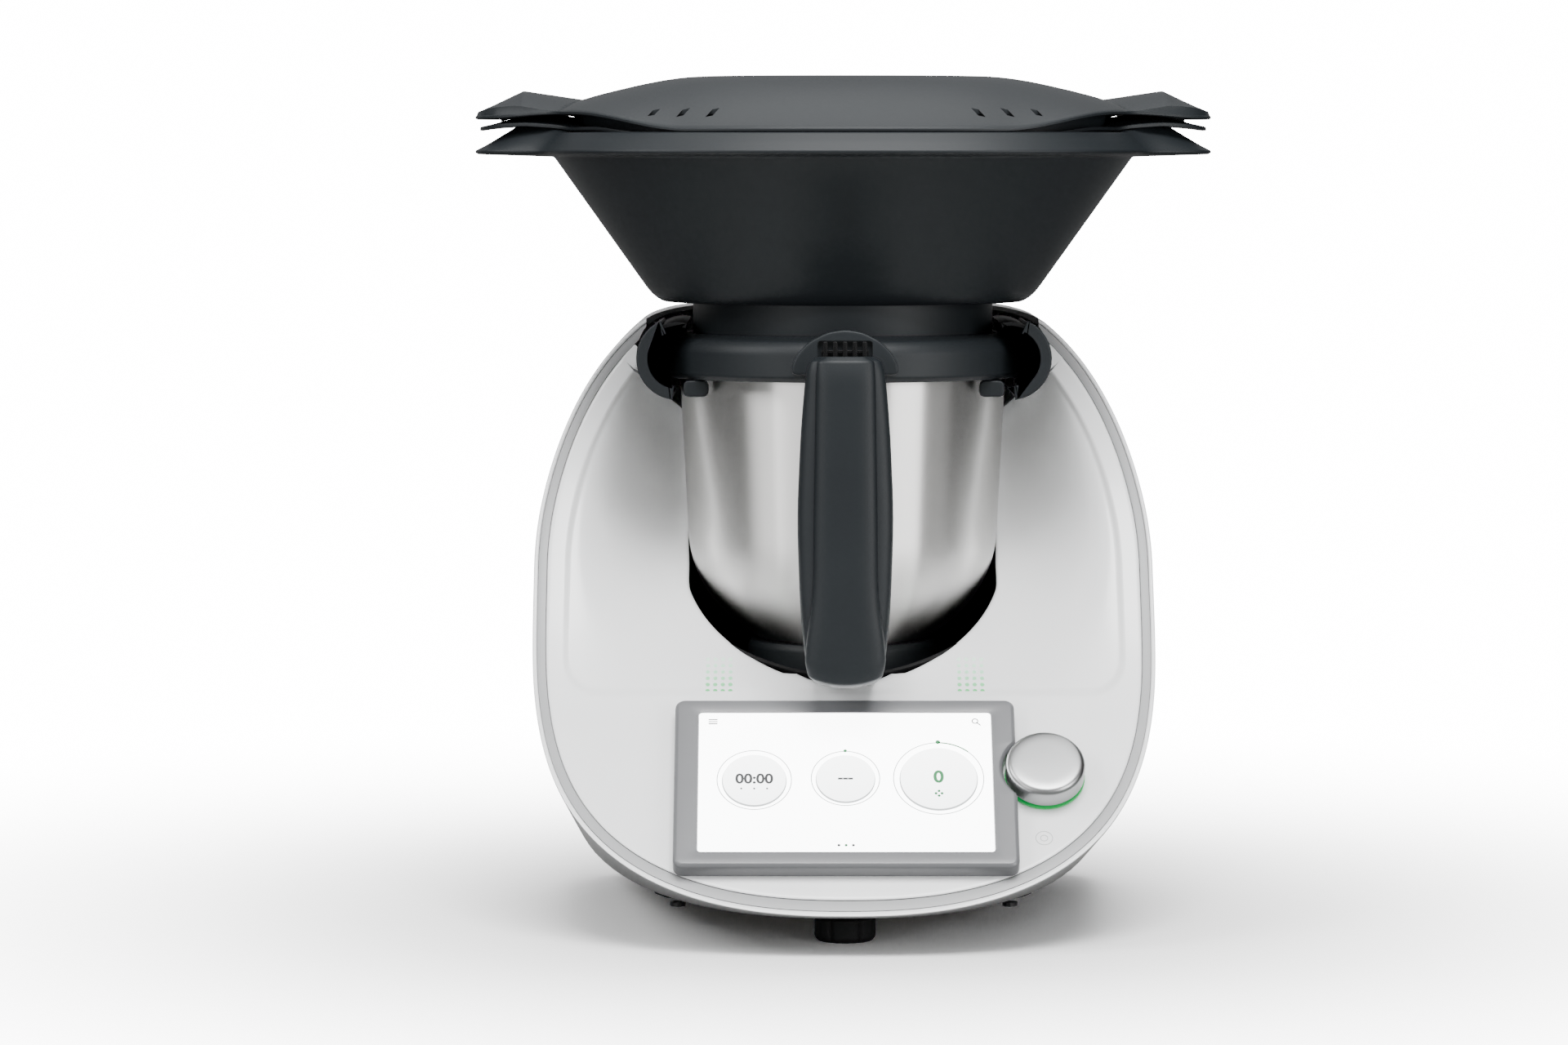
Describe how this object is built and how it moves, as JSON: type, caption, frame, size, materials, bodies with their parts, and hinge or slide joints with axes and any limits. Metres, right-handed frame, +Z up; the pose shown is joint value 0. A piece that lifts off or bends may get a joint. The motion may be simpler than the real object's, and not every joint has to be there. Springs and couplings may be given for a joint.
{
  "type": "heated countertop mixing machine with stacked steamer",
  "caption": "Countertop heated mixing machine: locked steel bowl with handle in a leaning white body with screen and dial, and an oval two-tier steamer on top.",
  "frame": {"origin": "centre of the bounding box's bottom face, on the surface that the feet stand on", "axes": "+X to the machine's right side seen from the front with the dial on +X, +Y to its back, +Z up"},
  "size_m": [0.3862, 0.326, 0.4385],
  "materials": {
    "white_shell": "moulded, satin gloss",
    "grey_trim": "moulded, satin",
    "bezel_grey": "satin paint",
    "slate_plastic": "moulded, fine satin grain",
    "black_plastic": "moulded, satin",
    "rubber": "moulded, matt",
    "steel": "brushed round the axis",
    "aluminium": "satin, turned",
    "copper_winding": "enamelled wire",
    "screen_glass": "clear cover over a lit panel",
    "circuit_board": "solder mask",
    "green_light": "translucent, lit",
    "silicone": "moulded, matt"
  },
  "bodies": {
    "base": {"rear_housing": "white_shell", "front_housing": "white_shell", "trim_band": "grey_trim", "display_bezel": "bezel_grey", "bowl_lid": "slate_plastic", "lid_hood": "slate_plastic", "bowl_handle": "slate_plastic", "lock_cover_left": "slate_plastic", "lock_cover_right": "slate_plastic", "lid_rest_left": "slate_plastic", "lid_rest_right": "slate_plastic", "bowl_well": "black_plastic", "base_plate": "black_plastic", "cord_inlet": "black_plastic", "bowl_base": "black_plastic", "power_socket": "black_plastic", "blade_bearing": "black_plastic", "lid_grille": "black_plastic", "lock_gear_left": "black_plastic", "lock_gear_right": "black_plastic", "knob_switch": "black_plastic", "foot_front": "rubber", "foot_rear_left": "rubber", "foot_rear_right": "rubber", "base_screw_front_left": "steel", "base_screw_front_right": "steel", "base_screw_rear_left": "steel", "base_screw_rear_right": "steel", "upper_bearing": "steel", "lower_bearing": "steel", "mixing_bowl": "steel", "bowl_contacts": "steel", "load_cell_front": "aluminium", "load_cell_rear_left": "aluminium", "load_cell_rear_right": "aluminium", "motor_frame": "aluminium", "motor_case": "aluminium", "heater_plate": "aluminium", "display_module": "aluminium", "motor_stator": "copper_winding", "touch_screen": "screen_glass", "power_board": "circuit_board", "control_board": "circuit_board", "knob_light": "green_light", "lid_seal": "silicone"},
    "lock_left": {"lock_jaw_left": "black_plastic"},
    "lock_right": {"lock_jaw_right": "black_plastic"},
    "knob_carrier": {"knob_stem": "steel"},
    "knob": {"control_knob": "aluminium"},
    "rotor": {"motor_rotor": "steel", "motor_shaft": "steel", "cooling_fan": "black_plastic", "drive_coupling": "black_plastic"},
    "blade": {"mixing_knife": "steel", "blade_shaft": "steel"},
    "dish": {"steamer_dish": "slate_plastic"},
    "tray": {"steamer_tray": "slate_plastic"},
    "steamer_lid": {"steamer_lid": "slate_plastic"}
  },
  "joints": [
    {"name": "lock_left_turn", "type": "hinge", "parent": "base", "child": "lock_left", "pos_m": [-0.086, 0, 0.2925], "axis": [0, -1, 0], "range_deg": [0, 90]},
    {"name": "lock_right_turn", "type": "hinge", "parent": "base", "child": "lock_right", "pos_m": [0.086, 0, 0.2925], "axis": [0, 1, 0], "range_deg": [0, 90]},
    {"name": "knob_push", "type": "slide", "parent": "base", "child": "knob_carrier", "axis": [0, 0.7071, -0.7071], "range_m": [0, 0.0012], "stiffness_N_per_m": 800, "springref_m": -0.001},
    {"name": "knob_turn", "type": "hinge", "parent": "knob_carrier", "child": "knob", "pos_m": [0.101, -0.10141, 0.08259], "axis": [0, -0.7071, 0.7071], "continuous": true},
    {"name": "motor_spin", "type": "hinge", "parent": "base", "child": "rotor", "pos_m": [0, 0.025, 0.06], "axis": [0, 0, 1], "continuous": true},
    {"name": "blade_spin", "type": "hinge", "parent": "base", "child": "blade", "pos_m": [0, 0.025, 0.135], "axis": [0, 0, 1], "continuous": true},
    {"name": "dish_lift", "type": "slide", "parent": "base", "child": "dish", "axis": [0, 0, 1], "range_m": [0, 0.12]},
    {"name": "tray_lift", "type": "slide", "parent": "dish", "child": "tray", "axis": [0, 0, 1], "range_m": [0, 0.1]},
    {"name": "steamer_lid_lift", "type": "slide", "parent": "tray", "child": "steamer_lid", "axis": [0, 0, 1], "range_m": [0, 0.1]}
  ],
  "couplings": [
    {"joint": "lock_right_turn", "follows": "lock_left_turn", "ratio": 1},
    {"joint": "blade_spin", "follows": "motor_spin", "ratio": 1}
  ]
}
